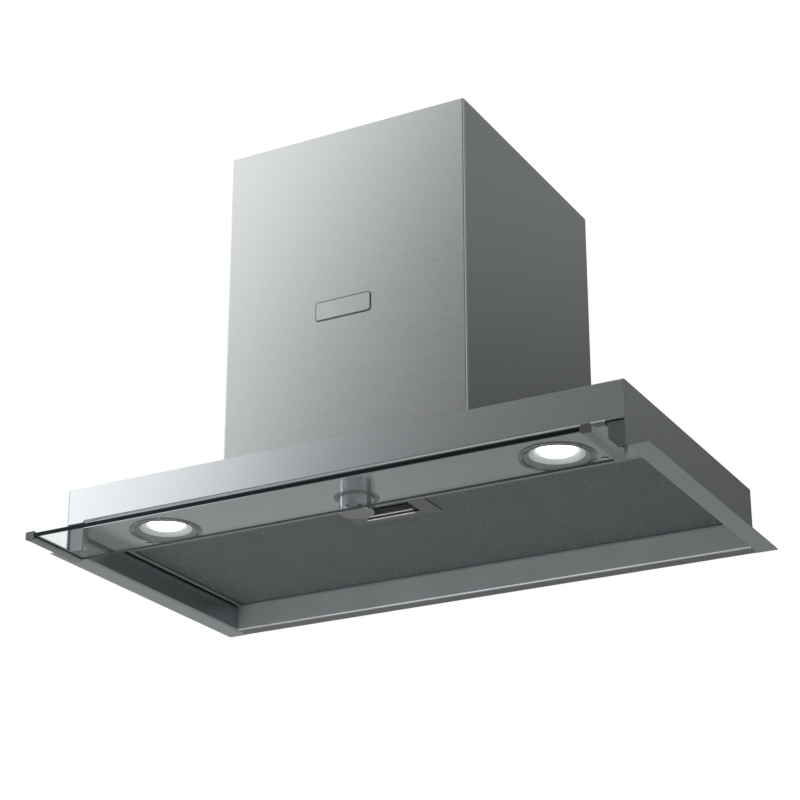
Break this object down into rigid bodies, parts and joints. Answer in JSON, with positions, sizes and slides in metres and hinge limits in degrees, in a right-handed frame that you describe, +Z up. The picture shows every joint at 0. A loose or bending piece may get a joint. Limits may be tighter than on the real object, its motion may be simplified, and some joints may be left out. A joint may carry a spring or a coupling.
{
  "type": "built-in cooker hood",
  "caption": "Built-in cooker hood: a folded-steel canopy under a blower casing, with a pull-out glass visor, lamps, a knob and a drop-down grease filter.",
  "frame": {"origin": "centre of the four cabinet screw holes, on the top face of the canopy", "axes": "+X to the right as seen from the front, +Y towards the wall, +Z up"},
  "size_m": [0.598, 0.3765, 0.4231],
  "materials": {
    "canopy_steel": "brushed along X",
    "post_steel": "satin, darker",
    "panel_steel": "brushed along X, glossier",
    "box_steel": "brushed along X",
    "badge_metal": "satin, bare",
    "zinc_steel": "zinc plated",
    "screw_steel": "bright",
    "bezel_metal": "satin",
    "reflector": "polished",
    "lamp_lens": "frosted, lit",
    "lamp_can": "satin",
    "knob_metal": "turned, satin",
    "dark_plastic": "matt",
    "white_plastic": "matt",
    "visor_glass": "clear, ground edges",
    "bar_aluminium": "anodised satin",
    "cap_plastic": "satin",
    "filter_aluminium": "satin",
    "filter_mesh": "fine mesh",
    "latch_metal": "bright",
    "scroll_steel": "galvanised",
    "motor_steel": "satin"
  },
  "bodies": {
    "housing": {"side_panel_left": "canopy_steel", "side_panel_right": "canopy_steel", "rear_panel": "canopy_steel", "rear_liner": "canopy_steel", "front_fascia": "canopy_steel", "top_plate": "canopy_steel", "corner_post_left": "post_steel", "corner_post_right": "post_steel", "lamp_panel": "panel_steel", "box_front": "box_steel", "box_side_left": "box_steel", "box_side_right": "box_steel", "box_rear": "box_steel", "box_top": "box_steel", "badge_plate": "badge_metal", "panel_hangers": "zinc_steel", "latch_keeper": "zinc_steel", "visor_rail_left": "zinc_steel", "visor_rail_right": "zinc_steel", "panel_screws": "screw_steel", "collar_screws": "screw_steel", "damper_axle": "screw_steel", "lamp_bezel_left": "bezel_metal", "lamp_bezel_right": "bezel_metal", "knob_ring": "bezel_metal", "lamp_reflector_left": "reflector", "lamp_reflector_right": "reflector", "lamp_lens_left": "lamp_lens", "lamp_lens_right": "lamp_lens", "lamp_can_left": "lamp_can", "lamp_can_right": "lamp_can", "selector_switch": "dark_plastic", "control_unit": "dark_plastic", "cable_gland": "dark_plastic", "duct_collar": "dark_plastic", "led_driver": "white_plastic", "capacitor": "white_plastic", "scroll_wrap": "scroll_steel", "scroll_side_left": "scroll_steel", "scroll_side_right": "scroll_steel", "outlet_flange": "scroll_steel", "motor_bracket": "scroll_steel", "motor": "motor_steel"},
    "visor": {"visor_glass": "visor_glass", "visor_bar_left": "bar_aluminium", "visor_bar_right": "bar_aluminium", "visor_cap_left": "cap_plastic", "visor_cap_right": "cap_plastic", "visor_slide_left": "zinc_steel", "visor_slide_right": "zinc_steel"},
    "knob": {"control_knob": "knob_metal"},
    "filter": {"filter_frame": "filter_aluminium", "filter_mesh": "filter_mesh", "filter_core": "filter_mesh", "filter_back_mesh": "filter_mesh", "latch_plate": "filter_aluminium"},
    "filter_latch": {"latch_slider": "latch_metal"},
    "fan": {"impeller": "dark_plastic"},
    "damper_front": {"damper_flap_front": "dark_plastic"},
    "damper_rear": {"damper_flap_rear": "dark_plastic"}
  },
  "joints": [
    {"name": "visor_slide", "type": "slide", "parent": "housing", "child": "visor", "axis": [0, 1, 0], "range_m": [0, 0.064]},
    {"name": "knob_turn", "type": "hinge", "parent": "housing", "child": "knob", "pos_m": [0, -0.1, -0.0379], "axis": [0, 0, 1], "range_deg": [0, 180]},
    {"name": "filter_swing", "type": "hinge", "parent": "housing", "child": "filter", "pos_m": [0, 0.1425, -0.0333], "axis": [1, 0, 0], "range_deg": [0, 60]},
    {"name": "latch_slide", "type": "slide", "parent": "filter", "child": "filter_latch", "axis": [0, 1, 0], "range_m": [0, 0.006], "stiffness_N_per_m": 300, "springref_m": -0.006},
    {"name": "fan_spin", "type": "hinge", "parent": "housing", "child": "fan", "pos_m": [0, -0.025, 0.133], "axis": [1, 0, 0], "continuous": true},
    {"name": "damper_front_swing", "type": "hinge", "parent": "housing", "child": "damper_front", "pos_m": [0, 0.04561, 0.336], "axis": [-1, 0, 0], "range_deg": [0, 70]},
    {"name": "damper_rear_swing", "type": "hinge", "parent": "housing", "child": "damper_rear", "pos_m": [0, 0.04561, 0.336], "axis": [1, 0, 0], "range_deg": [0, 70]}
  ]
}
